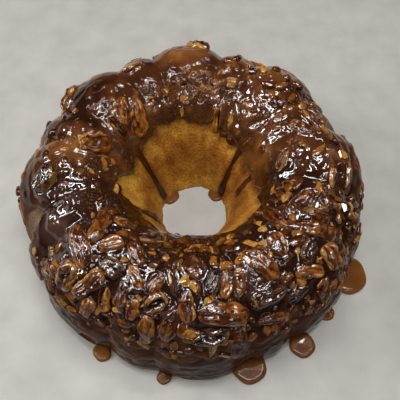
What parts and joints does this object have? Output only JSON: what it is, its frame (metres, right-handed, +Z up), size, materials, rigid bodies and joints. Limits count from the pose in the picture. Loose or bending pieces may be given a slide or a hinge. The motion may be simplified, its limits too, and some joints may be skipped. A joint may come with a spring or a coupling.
{
  "type": "fluted ring pound cake with caramel pecan glaze",
  "caption": "Fluted ring-shaped pound cake with golden crumb, under a glossy dark caramel glaze full of pecan halves and chopped pecans, with pools of glaze at its foot.",
  "frame": {"origin": "centre of the footprint's bounding box, at the level the cake stands on", "axes": "+Z up along the ring's axis; -Y is the side nearest the picture's camera; +X is to the right in the picture"},
  "size_m": [0.2468, 0.2483, 0.0864],
  "materials": {
    "glazed_cake": "gloss",
    "pecan_skin": "gloss",
    "pecan_flat_side": "gloss",
    "pecan_broken_edge": "satin"
  },
  "bodies": {
    "root": {"cake": "glazed_cake", "pecan_01": "pecan_skin", "pecan_02": "pecan_skin", "pecan_03": "pecan_broken_edge", "pecan_04": "pecan_skin", "pecan_05": "pecan_flat_side", "pecan_06": "pecan_broken_edge", "pecan_07": "pecan_skin", "pecan_08": "pecan_skin", "pecan_09": "pecan_broken_edge", "pecan_10": "pecan_skin", "pecan_11": "pecan_skin", "pecan_12": "pecan_flat_side", "pecan_13": "pecan_skin", "pecan_14": "pecan_skin", "pecan_15": "pecan_skin", "pecan_16": "pecan_skin", "pecan_17": "pecan_skin", "pecan_18": "pecan_flat_side", "pecan_19": "pecan_skin", "pecan_20": "pecan_skin", "pecan_21": "pecan_skin", "pecan_22": "pecan_skin", "pecan_23": "pecan_skin", "pecan_24": "pecan_flat_side", "pecan_25": "pecan_skin", "pecan_26": "pecan_skin", "pecan_27": "pecan_skin", "pecan_28": "pecan_flat_side", "pecan_29": "pecan_skin", "pecan_30": "pecan_skin", "pecan_31": "pecan_skin", "pecan_32": "pecan_flat_side", "pecan_33": "pecan_broken_edge", "pecan_34": "pecan_skin", "pecan_35": "pecan_skin", "pecan_36": "pecan_skin", "pecan_37": "pecan_flat_side", "pecan_38": "pecan_skin", "pecan_39": "pecan_skin", "pecan_40": "pecan_skin", "pecan_41": "pecan_skin", "pecan_42": "pecan_skin", "pecan_43": "pecan_skin", "pecan_44": "pecan_skin", "pecan_45": "pecan_skin", "pecan_46": "pecan_skin", "pecan_47": "pecan_skin", "pecan_48": "pecan_skin", "pecan_49": "pecan_skin", "pecan_50": "pecan_skin", "pecan_51": "pecan_skin", "pecan_52": "pecan_skin", "pecan_53": "pecan_skin", "pecan_54": "pecan_skin", "pecan_55": "pecan_skin", "pecan_56": "pecan_broken_edge", "pecan_57": "pecan_broken_edge"}
  },
  "joints": []
}
